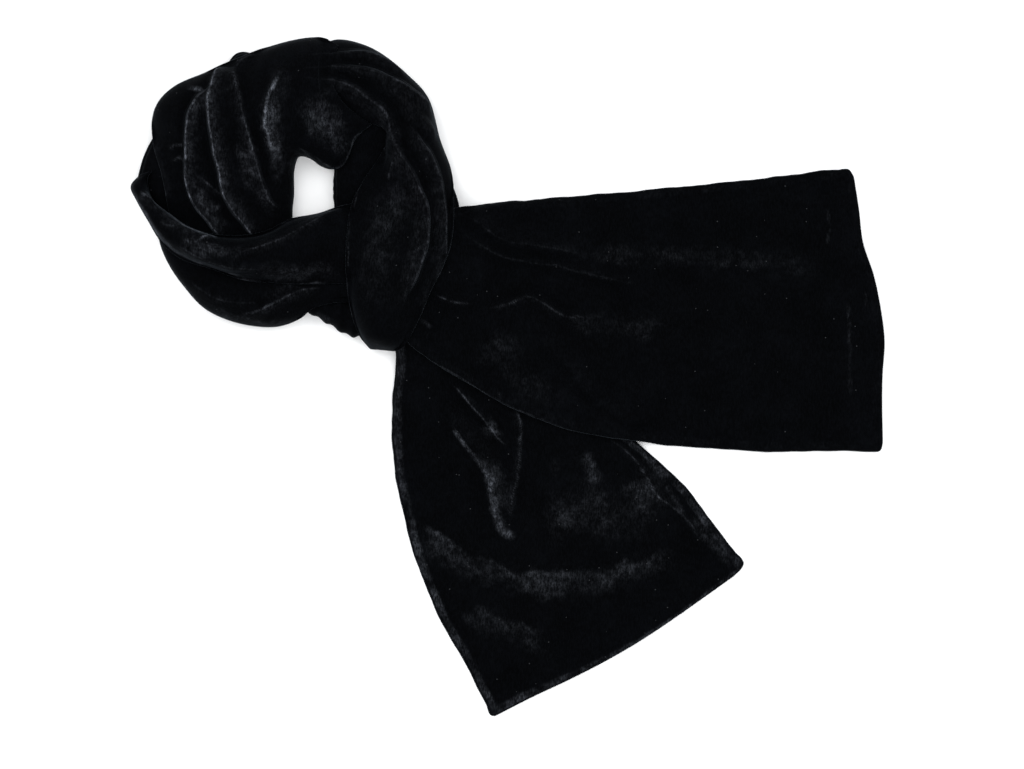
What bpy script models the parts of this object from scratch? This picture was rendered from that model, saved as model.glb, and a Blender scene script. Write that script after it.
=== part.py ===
"""A velvet scarf, folded in half and looped through itself, laid flat on a table.

+X runs along the right tail, +Y towards the top of the ring and +Z up from the table. Each stretch of the scarf
that shows is a cloth wall of its own, made of sections that cross it. A section is an arch from one edge to the
other, with the pleats raised on its outer side, and it lies on the stretches below it.
"""

from collections import namedtuple

import bmesh
import bpy
import numpy as np
from mathutils import Vector
from mathutils.bvhtree import BVHTree

# Driving sizes in metres. The tables are in millimetres, for a scarf 200 mm wide, and grow with its width.
SCARF_WIDTH = 0.200
CLOTH = 0.0028  # two panels of velvet lying together
CLEARANCE = 0.0008  # between a stretch and what it lies on
MM = SCARF_WIDTH / 200  # one millimetre of the tables
RING_X, RING_Y = -140, 137  # the middle of the ring's hole
MIDDLE_X, MIDDLE_Y = 1.5, 0.7  # the middle of the laid scarf
SHARP_DROP = 4  # a pleat that falls away within this many millimetres has a crease beside it
CREASE_DEPTH = 0.3  # how deep that crease is, as a share of the pleat's rise
CREASE_WIDTH = 9  # millimetres over which the crease fills up again
STARTS_OVER, ENDS_OVER = 0.08, 0.16  # the shares of the stretch over which a pleat grows and dies away
LEAST_STEP = 0.003  # the least share of a section's width between two of its points
HAIRLINE = 0.012  # the least share between a pleat's line and the stretch's edge

# One row for each section: its two edges from above, the arch's height, how boxy the arch is (2 round,
# 12 flat on top), and how far the section bends forwards.
Section = namedtuple("Section", "inner_x inner_y outer_x outer_y crown square bow")
# One row for each section of the hidden layers, by its direction from the ring's middle.
Spoke = namedtuple("Spoke", "degrees inner_r outer_r crown")
# One row for each pleat, from the inner edge outwards: where its line lies between the inner edge (0) and the
# outer edge (1) at five places along the stretch, its rise, how far its high side reaches, how wide its low
# side is, the shares of the stretch between which it shows, and the side that it falls to.
Pleat = namedtuple("Pleat", "start quarter middle later end rise reach drop shows_from shows_to falls")
OUT, IN = 1, -1

HIDDEN_LAYERS = [
    Spoke(0, 14.5, 102, 19),
    Spoke(20, 15.5, 98, 20),
    Spoke(45, 21, 88, 20),
    Spoke(68, 29, 90, 20),
    Spoke(92, 31, 92, 20),
    Spoke(108, 31, 96, 20),
    Spoke(119, 30, 110, 19),
    Spoke(129, 29, 106, 20),
    Spoke(145, 26, 112, 20),
    Spoke(160, 25, 119, 19),
    Spoke(173, 25, 125, 17),
    Spoke(184, 25, 126, 14),
    Spoke(198, 26, 112, 12),
    Spoke(218, 29, 108, 12),
    Spoke(238, 33, 102, 13),
    Spoke(256, 30, 94, 14),
    Spoke(274, 28, 80, 14),
    Spoke(292, 27, 90, 12),
    Spoke(310, 23, 96, 12),
    Spoke(328, 17, 104, 13),
    Spoke(341, 15.5, 108, 16),
    Spoke(351, 14.5, 107, 18),
]
HIDDEN_EDGES = [
    Pleat(0.03, 0.03, 0.03, 0.03, 0.03, 2.0, 9, 3, -1, 2, IN),
    Pleat(0.93, 0.93, 0.93, 0.93, 0.93, 2.5, 12, 3, -1, 2, OUT),
]

UNDER_TURN = [
    Section(-229, 99, -252, 112, 15, 2.4, 0),
    Section(-225, 95, -252, 95, 17, 2.4, 0),
    Section(-218, 90, -246, 80, 18, 2.4, 0),
    Section(-210, 86, -235, 65, 19, 2.4, 0),
    Section(-198, 81, -217, 50, 20, 2.4, 0),
    Section(-182, 78, -194, 40, 20, 2.4, 0),
    Section(-164, 77, -169, 36, 19, 2.4, 0),
    Section(-150, 76, -150, 41, 18, 2.4, 0),
    Section(-135, 75, -139, 49, 17, 2.4, 0),
    Section(-117, 75, -122, 53, 16, 2.4, 0),
    Section(-98, 72, -104, 52, 15, 2.4, 0),
]
UNDER_TURN_PLEATS = [
    Pleat(0.40, 0.45, 0.55, 0.42, 0.36, 3.0, 12, 3, 0.40, 0.98, IN),
    Pleat(0.93, 0.93, 0.93, 0.93, 0.93, 1.6, 7, 3, 0.05, 0.80, OUT),
]

GATHERS = [
    Section(-144, 60, -145, 48, 7, 2.4, 0),
    Section(-137, 61, -137, 43, 11, 2.4, 0),
    Section(-129, 61, -130, 39, 12, 2.4, 0),
    Section(-121, 60, -122, 34, 13, 2.4, 0),
    Section(-113, 58, -114, 30, 13, 2.4, 0),
    Section(-104, 50, -106, 29, 12, 2.4, 0),
]
GATHER_BUMPS = 4  # bunched folds that run across the gathers
GATHER_RISE = 1.3

LEFT_TURN = [
    Section(-151, 94, -236, 91, 17, 2.4, 0),
    Section(-156, 115, -243, 118, 21, 2.4, 0),
    Section(-156, 132, -247, 143, 26, 2.4, 0),
    Section(-155, 147, -254, 167, 29, 2.4, 0),
    Section(-152, 156, -253, 190, 30, 2.4, 0),
    Section(-149, 159.5, -239, 207, 30, 2.4, 0),
    Section(-142, 157.5, -212, 220, 30, 2.4, 0),
    Section(-134, 152, -187, 231, 30, 2.4, -2),
    Section(-124, 149, -165, 239, 31, 2.4, -6),
    Section(-113, 157, -142, 244, 31, 2.4, -11),
    Section(-99, 178, -122, 241, 30, 2.4, -15),
]
LEFT_TURN_PLEATS = [
    Pleat(0.04, 0.12, 0.30, 0.64, 0.75, 4.0, 16, 10, 0.35, 0.80, IN),
    Pleat(0.08, 0.21, 0.44, 0.79, 0.85, 4.5, 15, 3, 0.02, 0.68, IN),
    Pleat(0.36, 0.50, 0.73, 0.90, 0.92, 5.5, 20, 3, 0.02, 0.72, OUT),
    Pleat(0.63, 0.75, 0.85, 0.95, 0.96, 5.0, 20, 3, 0.02, 0.62, OUT),
]

LOWER_TURN = [
    Section(-269, 140, -267, 129, 9, 2.2, 0),
    Section(-265, 137, -262, 118, 18, 2.3, 0),
    Section(-257, 129, -255, 103, 25, 2.4, 0),
    Section(-244, 120, -246, 91, 29, 2.4, 0),
    Section(-229, 108, -232, 83, 32, 2.4, 0),
    Section(-212, 102, -213, 77, 34, 2.4, 0),
    Section(-189, 101, -190, 69, 34, 2.4, 0),
    Section(-171, 105, -170, 67, 32, 2.4, 0),
    Section(-156, 113, -151, 66, 29, 2.4, 0),
    Section(-135, 118, -132, 66, 26, 2.4, 0),
    Section(-117, 123, -115, 66, 23, 2.4, 0),
    Section(-100, 124, -99, 62, 21, 2.4, 0),
    Section(-86, 122, -87, 58, 20, 2.4, 0),
]
LOWER_TURN_PLEATS = [
    Pleat(0.40, 0.34, 0.24, 0.14, 0.08, 2.5, 12, 4, 0.25, 0.92, IN),
    Pleat(0.70, 0.66, 0.62, 0.60, 0.60, 2.5, 12, 3, 0.06, 0.50, OUT),
]

CROSSING_TURN = [
    Section(-122, 188, -136, 235, 19, 2.4, -3),
    Section(-109, 184, -121, 236, 21, 2.4, -5),
    Section(-98, 181, -106, 235, 24, 2.4, -4),
    Section(-91, 178, -91, 227, 27, 2.4, -2),
    Section(-87.5, 175.5, -73, 211, 28, 2.4, 0),
    Section(-85.5, 170, -59, 192, 29, 2.4, 0),
    Section(-92, 157, -49, 166, 30, 2.4, 0),
    Section(-104, 139, -43, 143, 31, 2.4, 0),
    Section(-112, 123, -40, 120, 32, 2.4, 0),
    Section(-115, 102, -41, 98, 33, 2.4, 0),
    Section(-116, 81, -47, 79, 33, 2.4, 0),
    Section(-115, 62, -55, 61, 33, 2.4, 0),
    Section(-112, 44, -62, 44, 32, 2.4, 0),
    Section(-106, 31, -69, 30, 29, 2.4, 0),
    Section(-102, 26, -74, 23, 21, 2.4, 0),
    Section(-98, 22, -79, 20, 8, 2.4, 0),
]
CROSSING_TURN_PLEATS = [
    Pleat(0.10, 0.12, 0.42, 0.67, 0.66, 2.5, 14, 3, 0.50, 0.90, OUT),
    Pleat(0.33, 0.26, 0.64, 0.79, 0.78, 4.5, 16, 3, 0.07, 0.88, OUT),
    Pleat(0.44, 0.46, 0.83, 0.92, 0.90, 4.0, 12, 3, 0.22, 0.94, OUT),
    Pleat(0.52, 0.72, 0.91, 0.95, 0.94, 3.0, 12, 3, 0.12, 0.45, OUT),
    Pleat(0.60, 0.91, 0.95, 0.97, 0.96, 4.0, 16, 3, 0.07, 0.36, OUT),
    Pleat(0.80, 0.965, 0.975, 0.985, 0.98, 3.0, 12, 3, 0.07, 0.26, OUT),
]

LOWER_TAIL = [
    Section(-82, 34, -56, 56, 16, 2.6, 0),
    Section(-81, 8, -13, 24, 12, 3.0, 3),
    Section(-83, -27, 37, -8, 8, 4.0, 3),
    Section(-79, -73, 91, -46, 4.5, 7.0, 3),
    Section(-68, -123, 124, -79, 2.8, 12.0, 2),
    Section(-50, -169, 147, -107, 2.8, 12.0, 2),
    Section(-28, -209, 162, -126, 2.8, 12.0, 1),
    Section(-15, -233, 167, -131, 2.8, 12.0, 0),
    Section(-13, -238, 168, -133, 2.8, 12.0, 0),
    Section(-11, -242, 166, -137, 2.6, 12.0, 0),
    Section(-7, -242.5, 161, -141, 2.4, 12.0, 0),
]
LOWER_TAIL_FOLDS = [
    Pleat(0.20, 0.20, 0.34, 0.34, 0.34, 7.0, 13, 11, 0.12, 0.52, OUT),
    Pleat(0.55, 0.50, 0.50, 0.46, 0.46, 7.5, 14, 7, 0.05, 0.47, OUT),
    Pleat(0.80, 0.84, 0.91, 0.93, 0.93, 3.0, 12, 7, 0.20, 0.62, OUT),
]

RIGHT_TAIL = [
    Section(-62, 116, -78, 40, 20, 2.6, 0),
    Section(-35, 121, -71, 23, 18, 2.8, 2),
    Section(-6, 125, -37, 0, 13, 3.2, 2),
    Section(23, 127, 4, -23, 8.5, 4.0, 2),
    Section(66, 131, 46, -39, 5, 7.0, 2),
    Section(109, 135, 91, -46, 3.2, 12.0, 3),
    Section(153, 139, 138, -51, 2.8, 12.0, 4),
    Section(196, 144, 189, -54, 2.8, 12.0, 6),
    Section(232, 149, 236, -54, 2.8, 12.0, 8),
    Section(242, 150, 262, -54.5, 2.8, 12.0, 9),
    Section(246, 149, 269, -53.5, 2.6, 12.0, 9),
    Section(249, 144, 271, -48, 2.4, 12.0, 8.5),
]
RIGHT_TAIL_FOLDS = [
    Pleat(0.06, 0.22, 0.28, 0.31, 0.38, 7.0, 14, 10, 0.02, 0.86, IN),
    Pleat(0.16, 0.30, 0.36, 0.42, 0.48, 6.5, 16, 7, 0.02, 0.56, OUT),
    Pleat(0.62, 0.53, 0.54, 0.60, 0.66, 8.0, 18, 9, 0.02, 0.64, IN),
    Pleat(0.86, 0.66, 0.82, 0.88, 0.90, 4.0, 14, 8, 0.12, 0.52, IN),
]

# The order in which the stretches are laid, and what each lies on. The left turn's end is laid last of all.
LAID_ON = [
    ("lower_tail", ["hidden_layers"]),
    ("gathered_bight", ["hidden_layers"]),
    ("under_turn", ["hidden_layers", "gathered_bight"]),
    ("left_turn", ["hidden_layers", "under_turn"]),
    ("lower_turn", ["hidden_layers", "gathered_bight", "under_turn", "left_turn"]),
    ("right_tail", ["hidden_layers", "lower_tail", "lower_turn"]),
    ("crossing_turn",
     ["hidden_layers", "gathered_bight", "under_turn", "lower_turn", "lower_tail", "right_tail"]),
    ("left_turn", ["crossing_turn"]),
]

VELVET_BLACK = (0.010, 0.011, 0.014, 1.0)


def smooth_rows(rows, places):
    """The table's rows as numbers, read from a smooth curve through them at places from 0 to 1."""
    knots = np.array(rows, float)
    knots = np.vstack([2 * knots[0] - knots[1], knots, 2 * knots[-1] - knots[-2]])
    at = np.clip(np.asarray(places) * (len(rows) - 1), 0, len(rows) - 1 - 1e-9)
    k = at.astype(int)
    t = (at - k)[:, None]
    before, here, after, beyond = (knots[k + i] for i in range(4))
    straight = after - before
    bend = 2 * before - 5 * here + 4 * after - beyond
    twist = -before + 3 * here - 3 * after + beyond
    return here + 0.5 * t * (straight + t * (bend + t * twist))


def pleat_lines(pleats, places):
    """Where each pleat's line lies across the stretch, one row for each section."""
    if not pleats:
        return np.zeros((len(places), 0))
    lines = np.array([smooth_rows([[share] for share in pleat[:5]], places)[:, 0] for pleat in pleats]).T
    return np.clip(np.sort(lines, axis=1), HAIRLINE, 1 - HAIRLINE)


def across(lines, pleats, width, span_points):
    """The shares across one section at which it has a point, closer together at the edges and pleats."""
    near_edge = 0.35 * CLOTH / width
    shares = [0.0, near_edge, 1 - near_edge, 1.0]
    turns = np.arccos(1 - 2 * np.concatenate([[0.0], lines, [1.0]]))
    for low, high in zip(turns[:-1], turns[1:]):
        steps = low + (high - low) * np.arange(1, span_points + 1) / (span_points + 1)
        shares.extend((1 - np.cos(steps)) / 2)
    for line, pleat in zip(lines, pleats):
        half = 0.5 * pleat.drop * MM / width
        shares.extend([line - half, line, line + half])
    steps = LEAST_STEP * np.arange(len(shares))
    apart = np.maximum.accumulate(np.sort(np.clip(shares, 0.0, 1.0)) - steps) + steps
    return apart / apart[-1]


def eased(x):
    """1 up to 0, falling smoothly to 0 at 1 and beyond."""
    x = np.clip(x, 0, 1)
    return (1 - x) ** 2 * (1 + 2 * x)


def pleat_rise(shares, lines, pleats, width, place):
    """How far the pleats stand out at these shares of a section this far along the stretch."""
    total = np.zeros_like(shares)
    for line, pleat in zip(lines, pleats):
        grown = 1 - eased((place - pleat.shows_from) / STARTS_OVER)
        grown *= 1 - eased((pleat.shows_to - place) / ENDS_OVER)
        beyond = (shares - line) * width / MM * pleat.falls + 0.5 * pleat.drop
        high_side, low_side = eased(-beyond / pleat.reach), eased(beyond / pleat.drop)
        crease = eased((beyond - pleat.drop) / CREASE_WIDTH) * (1 - low_side)
        depth = CREASE_DEPTH if pleat.drop <= SHARP_DROP else 0.0
        total += pleat.rise * MM * grown * (high_side * low_side - depth * crease)
    return total


def arch(shares, square):
    """The height of the arch across a section, from 0 at its feet to 1."""
    return (1 - np.abs(2 * shares - 1) ** square) ** (1 / square)


def arch_normal(shares, square, width, crown):
    """How far the arch's outward direction leans sideways and upwards at each share."""
    sideways = np.sign(2 * shares - 1) * np.abs(2 * shares - 1) ** (square - 1) / (width / 2)
    upwards = arch(shares, square) ** (square - 1) / crown
    length = np.hypot(sideways, upwards)
    return sideways / length, upwards / length


def section_points(inner, edge, bow, shares, heights):
    """The points at these shares of a section, at these heights."""
    plan = inner + np.outer(shares, edge - inner) + np.outer(4 * shares * (1 - shares), bow)
    return np.column_stack([plan, heights])


class Stretch:
    """The points of one stretch: an outer and an under grid, each with one row for each section."""

    def __init__(self, sections, pleats, stations, span_points, under_points, flat=False):
        """A flat stretch lies on the table, and its underside follows its outer side up into the folds."""
        places = np.linspace(0, 1, stations)
        rows = smooth_rows(sections, places)
        lines = pleat_lines(pleats, places)
        ahead = np.gradient((rows[:, :2] + rows[:, 2:4]) / 2, axis=0)
        ahead /= np.linalg.norm(ahead, axis=1)[:, None]
        self.outer, self.under = [], []
        self.outer_shares, self.moved_shares, self.under_shares = [], [], []
        for row, line, forward, place in zip(rows, lines, ahead, places):
            inner, edge = row[:2] * MM, row[2:4] * MM
            crown, square, bow = row[4] * MM, row[5], row[6] * MM * forward
            width = np.linalg.norm(edge - inner)
            shares = across(line, pleats, width, span_points)
            heights = arch(shares, square)
            rise = pleat_rise(shares, line, pleats, width, place) * np.minimum(1, 3 * heights)
            leans, lifts = arch_normal(shares, square, width, crown)
            moved = shares + leans * rise / width
            outer = section_points(inner, edge, bow, moved, crown * heights + lifts * rise)
            if flat:
                tucked = shares[1:-1]
                slope = np.gradient(outer[:, 2], shares * width)[1:-1]
                under = outer[1:-1] - np.outer(CLOTH * np.hypot(1, slope), [0, 0, 1])
                under[:, 2] = np.maximum(under[:, 2], 0)
            else:
                beneath = (1 - np.cos(np.pi * np.arange(1, under_points + 1) / (under_points + 1))) / 2
                tucked = CLOTH / width + beneath * (1 - 2 * CLOTH / width)
                under = section_points(inner, edge, bow, tucked, (crown - CLOTH) * arch(beneath, square))
            self.outer.append(outer)
            self.under.append(under)
            self.outer_shares.append(shares)
            self.moved_shares.append(moved)
            self.under_shares.append(np.concatenate([[0.0], tucked, [1.0]]))
        self.outer, self.under = np.array(self.outer), np.array(self.under)

    def lie_on(self, beneath):
        """Raises the stretch where it would sink into these meshes, read four times as finely as its points."""
        trees = [BVHTree.FromPolygons(points, faces) for points, faces in beneath]
        below = np.concatenate([self.outer[:, :1], self.under, self.outer[:, -1:]], axis=1)
        fine = halved(halved(halved(halved(below)).swapaxes(0, 1))).swapaxes(0, 1)
        tops = np.zeros(fine.shape[:2])
        for index in np.ndindex(tops.shape):
            above = Vector((fine[index][0], fine[index][1], 1.0))
            for tree in trees:
                hit = tree.ray_cast(above, Vector((0, 0, -1)))[0]
                if hit is not None:
                    tops[index] = max(tops[index], hit.z + CLEARANCE)
        for _ in range(4):
            tops = spread(tops, np.max)
        tops = tops[::4, ::4]
        needed = np.maximum(tops - below[:, :, 2], 0)
        softened = spread(spread(needed, np.mean), np.mean)
        softened[:, [0, -1]] = 0
        lift = np.maximum(needed, softened)
        self.under[:, :, 2] += lift[:, 1:-1]
        for row, moved, under_shares, lifts in zip(self.outer, self.moved_shares, self.under_shares, lift):
            row[:, 2] += np.interp(moved, under_shares, lifts)

    def mesh(self, closed=False):
        """The points and faces of the stretch as one closed wall, or as a closed ring of it."""
        stations, across_points = self.outer.shape[:2]
        loops = np.concatenate([self.outer, self.under[:, ::-1]], axis=1)
        around = loops.shape[1]
        points = loops.reshape(-1, 3)
        faces = []
        for i in range(stations if closed else stations - 1):
            following = (i + 1) % stations
            for j in range(around):
                k = (j + 1) % around
                near, far = i * around, following * around
                faces.append((near + j, near + k, far + k, far + j))
        if not closed:
            top = np.arange(across_points)
            bottom = np.array([0, *range(around - 1, across_points - 1, -1), across_points - 1])
            for i, flips in ((0, False), (stations - 1, True)):
                ends = top + i * around, self.outer_shares[i], bottom + i * around, self.under_shares[i]
                faces.extend(end_faces(*ends, flips))
        return points, faces


def halved(rows):
    """The rows with one more between each pair, halfway."""
    between = np.empty((2 * len(rows) - 1, *rows.shape[1:]))
    between[::2], between[1::2] = rows, (rows[:-1] + rows[1:]) / 2
    return between


def spread(grid, how):
    """Each value of the grid becomes the largest, or the mean, of itself and its eight neighbours."""
    padded = np.pad(grid, 1, mode="edge")
    rows, columns = grid.shape
    near = [padded[i:i + rows, j:j + columns] for i in range(3) for j in range(3)]
    return how(near, axis=0)


def end_faces(top, top_shares, bottom, bottom_shares, flips):
    """Triangles between the outer line and the under line of an end section, which share their two feet."""
    faces, i, j = [], 0, 0
    while i < len(top) - 1 or j < len(bottom) - 1:
        steps_top = j == len(bottom) - 1 or (i < len(top) - 1 and top_shares[i + 1] <= bottom_shares[j + 1])
        corner = top[i + 1] if steps_top else bottom[j + 1]
        face = (int(top[i]), int(corner), int(bottom[j]))
        i, j = (i + 1, j) if steps_top else (i, j + 1)
        if len(set(face)) == 3:
            faces.append(face if flips else face[::-1])
    return faces


def velvet():
    """The scarf's one cloth, for the viewport and the solids."""
    material = bpy.data.materials.new("black_velvet")
    material.use_nodes = True
    shader = material.node_tree.nodes["Principled BSDF"]
    shader.inputs["Base Color"].default_value = VELVET_BLACK
    shader.inputs["Roughness"].default_value = 0.85
    shader.inputs["Metallic"].default_value = 0.0
    material.diffuse_color = VELVET_BLACK
    return material


def place(name, points, faces, material):
    """Adds the stretch to the scene as one object, with its faces pointing out."""
    mesh = bpy.data.meshes.new(name)
    middle = np.array([MIDDLE_X * MM, MIDDLE_Y * MM, 0])
    mesh.from_pydata((points - middle).tolist(), [], faces)
    work = bmesh.new()
    work.from_mesh(mesh)
    bmesh.ops.recalc_face_normals(work, faces=work.faces)
    work.to_mesh(mesh)
    work.free()
    mesh.materials.append(material)
    mesh.shade_smooth()
    mesh.set_sharp_from_angle(angle=np.radians(55))
    scarf_object = bpy.data.objects.new(name, mesh)
    bpy.context.scene.collection.objects.link(scarf_object)
    return scarf_object


def hidden_layers():
    """The layers wound under the turns, as one ring with layered edges."""
    spokes = smooth_rows([*HIDDEN_LAYERS, HIDDEN_LAYERS[0]._replace(degrees=360)], np.linspace(0, 1, 49)[:-1])
    angle = np.radians(spokes[:, 0])
    away = np.column_stack([np.cos(angle), np.sin(angle)])
    middle = np.array([RING_X, RING_Y])
    inner, edge = middle + away * spokes[:, 1:2], middle + away * spokes[:, 2:3]
    rows = [Section(*a, *b, crown, 2.4, 0) for a, b, crown in zip(inner, edge, spokes[:, 3])]
    ring = Stretch(rows, HIDDEN_EDGES, len(rows), 3, 0)
    ring.under = ring.under[:, :0]
    return ring


def gathers():
    """The bunched cloth that shows below the crossing, with folds running across it."""
    stretch = Stretch(GATHERS, [], 4 * GATHER_BUMPS + 1, 7, 5)
    turns = np.linspace(0, 2 * np.pi * GATHER_BUMPS, len(stretch.outer))
    for row, swell in zip(stretch.outer, GATHER_RISE * MM * (1 - np.cos(turns)) / 2):
        side = (row[-1, :2] - row[0, :2]) / np.linalg.norm(row[-1, :2] - row[0, :2])
        row[:, 2] += swell * row[:, 2] / row[:, 2].max()
        row[:, :2] += np.outer(swell * np.linspace(0, 1, len(row)) ** 2, side)
    return stretch


def build():
    """Lays the stretches over each other and adds them to the scene."""
    for old in list(bpy.data.objects):
        bpy.data.objects.remove(old)
    cloth = velvet()
    laid = {"hidden_layers": hidden_layers().mesh(closed=True)}
    stretches = {
        "lower_tail": Stretch(LOWER_TAIL, LOWER_TAIL_FOLDS, 26, 3, 0, flat=True),
        "gathered_bight": gathers(),
        "under_turn": Stretch(UNDER_TURN, UNDER_TURN_PLEATS, 24, 3, 8),
        "left_turn": Stretch(LEFT_TURN, LEFT_TURN_PLEATS, 38, 3, 9),
        "lower_turn": Stretch(LOWER_TURN, LOWER_TURN_PLEATS, 28, 3, 9),
        "right_tail": Stretch(RIGHT_TAIL, RIGHT_TAIL_FOLDS, 26, 3, 0, flat=True),
        "crossing_turn": Stretch(CROSSING_TURN, CROSSING_TURN_PLEATS, 37, 2, 9),
    }
    for name, beneath in LAID_ON:
        stretches[name].lie_on([laid[other] for other in beneath])
        laid[name] = stretches[name].mesh()
    for name, (points, faces) in laid.items():
        place(name, points, faces, cloth)


build()
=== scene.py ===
import math

import bpy
import numpy as np
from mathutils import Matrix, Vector, noise
from mathutils.bvhtree import BVHTree


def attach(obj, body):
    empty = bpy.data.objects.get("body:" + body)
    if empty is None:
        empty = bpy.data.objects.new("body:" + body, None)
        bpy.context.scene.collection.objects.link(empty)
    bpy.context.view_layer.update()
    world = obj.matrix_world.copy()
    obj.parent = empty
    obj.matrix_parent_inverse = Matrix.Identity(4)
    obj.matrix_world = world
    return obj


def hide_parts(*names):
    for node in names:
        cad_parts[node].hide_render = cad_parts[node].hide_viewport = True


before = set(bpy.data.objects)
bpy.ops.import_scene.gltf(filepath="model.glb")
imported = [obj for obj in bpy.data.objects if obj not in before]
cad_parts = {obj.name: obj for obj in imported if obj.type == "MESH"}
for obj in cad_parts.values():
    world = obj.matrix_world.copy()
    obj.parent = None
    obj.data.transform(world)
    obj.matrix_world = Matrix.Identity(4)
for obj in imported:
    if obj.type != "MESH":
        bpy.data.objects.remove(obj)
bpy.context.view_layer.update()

# The whole scarf. Tables are in millimetres on the table top, read from straight above.
velvetScarf = {
    "cloth": 2.8,            # two panels of velvet lying together
    "airBetween": 0.5,       # between a stretch and what it lies on
    "steepSide": 5,          # a fold's side no wider than this has a furrow beside it
    "creaseWidth": 7,        # of that furrow
    "ringMiddle": (-140, 137),
    "laidMiddle": (1.5, 0.7),
    "endReach": 90,          # how far back from a tail's end its own shape is felt
    "sagReach": 9,           # how far cloth that is held up slopes away, in points
    "edgeSlope": 5,          # how gently an edge comes down off what it crosses, in points
    "edgeBand": 8,           # how far in from an edge that slope counts, in points
}

# How handled velvet lies. Each lump is: where its noise starts, its stretch, size, seed step and height.
handledCloth = {
    "lumps": [(300, (1.0, 1.0), 38, 0, 1.0), (700, (1.0, 0.22), 9, 5, 0.45), (900, (0.5, 1.0), 13, 9, 0.25)],
    "wander": 1.2,           # how far a fold strays from its line
    "creaseDepth": 0.3,      # of the furrow, as a share of the fold's rise
    # the entries below set the painted sheen highlights on folds and in patches
    "rimWidth": 0.9,         # of the painted highlight line on a fold
    "glowWidth": 7,          # of the painted soft glow round that line
    "glow": 0.10,
    "fullRise": 4,           # a fold this high gets the full painted sheen on its raised side
    "patchReach": 6.0,       # how ragged a painted sheen patch may be
    "patchStrength": 0.30,
    "patchOverlap": 0.25,    # how much two patches add up
    "deepest": -1.5,
    "edgeEase": 4,           # the folds die out over this width at an edge
}

# The ridge over the seam allowances, and how the sewn edge waves
sewnHem = {
    "begins": 0.5, "beginEase": 2.0, "ends": 5.5, "endEase": 2.5,
    "wobble": 0.9, "rise": 0.6, "wave": 0.9, "waveReach": 14,
}

millimetre = 0.001
cloth = velvetScarf["cloth"]


def smoothRows(rows, places):
    # a smooth curve through the rows of a table, read at places from 0 to 1
    knots = np.array(rows, float)
    knots = np.vstack([2 * knots[0] - knots[1], knots, 2 * knots[-1] - knots[-2]])
    at = np.clip(np.asarray(places) * (len(rows) - 1), 0, len(rows) - 1 - 1e-9)
    k = at.astype(int)
    t = (at - k)[:, None]
    before, here, after, beyond = (knots[k + i] for i in range(4))
    return here + 0.5 * t * (after - before + t * (
        2 * before - 5 * here + 4 * after - beyond + t * (-before + 3 * here - 3 * after + beyond)))


def eased(x):
    # 1 up to 0, falling smoothly to 0 at 1
    x = np.clip(x, 0, 1)
    return (1 - x) ** 2 * (1 + 2 * x)


def softNoise(points, size, seed=0.0):
    # one slow random value from -1 to 1 for each point, with lumps about this size
    scaled = np.asarray(points, float) / size
    flat = scaled.reshape(-1, scaled.shape[-1])
    values = [noise.noise(Vector((row[0], row[1], seed))) for row in flat]
    return np.array(values).reshape(scaled.shape[:-1])


def spread(grid, how, times=1, across=1):
    # each value becomes the largest, or the mean, of itself and its neighbours, or with across 0 of those
    # before and after it along the stretch
    for _ in range(times):
        padded = np.pad(grid, ((1, 1), (across, across)), mode="edge")
        rows, columns = grid.shape
        shifts = [(i, j) for i in range(3) for j in range(2 * across + 1)]
        grid = how([padded[i:i + rows, j:j + columns] for i, j in shifts], axis=0)
    return grid


def evenPlaces(sections, step):
    # places along the stretch that are the same distance apart on the table, and closer at its two ends
    fine = np.linspace(0, 1, 600)
    rows = smoothRows(sections, fine)
    middle = (rows[:, :2] + rows[:, 2:4]) / 2
    gone = np.concatenate([[0], np.cumsum(np.linalg.norm(np.diff(middle, axis=0), axis=1))])
    nose, behindNose = np.array([0, 0.15, 0.45, 0.9, 1.4]), 2.4
    count = max(3, round((gone[-1] - 2 * behindNose) / step))
    inside = np.linspace(behindNose, gone[-1] - behindNose, count)
    wanted = np.concatenate([nose, inside, gone[-1] - nose[::-1]])
    return np.interp(wanted, gone, fine), wanted, gone[-1]


def archHeight(shares, square):
    return (1 - np.abs(2 * shares - 1) ** square) ** (1 / square)


def sectionPoints(inner, edge, bow, shares, heights):
    plan = inner + np.outer(shares, edge - inner) + np.outer(4 * shares * (1 - shares), bow)
    return np.column_stack([plan, heights])


def layOut(piece):
    # the two sides of a stretch before it lies on anything, one row of points for each section
    places, gone, length = evenPlaces(piece["sections"], piece["alongStep"])
    rows = smoothRows(piece["sections"], places)
    even = np.linspace(0, 1, piece["pointsAcross"])
    shares = (1 - piece["edgeDetail"]) * even + piece["edgeDetail"] * (1 - np.cos(math.pi * even)) / 2
    ahead = np.gradient((rows[:, :2] + rows[:, 2:4]) / 2, gone, axis=0)
    ahead /= np.linalg.norm(ahead, axis=1)[:, None]
    ends = smoothRows([[x] for x in piece.get("endShape", [0, 0])], shares)[:, 0]
    outer, under = [], []
    for row, forward, left in zip(rows, ahead, length - gone):
        inner, edge, crown, square = row[:2], row[2:4], row[4], row[5]
        width = np.linalg.norm(edge - inner)
        heights = archHeight(shares, square)
        runOut = np.outer(ends * eased(left / velvetScarf["endReach"]), [*forward, 0])
        top = sectionPoints(inner, edge, row[6] * forward, shares, crown * heights) + runOut
        if piece["flatOnTable"]:
            below = top - (0, 0, cloth)
            below[:, 2] = np.maximum(below[:, 2], 0)
        else:
            tucked = cloth / width + shares * (1 - 2 * cloth / width)
            below = sectionPoints(inner, edge, row[6] * forward, tucked, (crown - cloth) * heights)
        outer.append(top)
        under.append(below[1:-1])
    widths = np.linalg.norm(rows[:, 2:4] - rows[:, :2], axis=1)
    return {
        "outer": np.array(outer), "under": np.array(under), "shares": shares,
        "widths": widths, "gone": gone, "length": length,
    }


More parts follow.
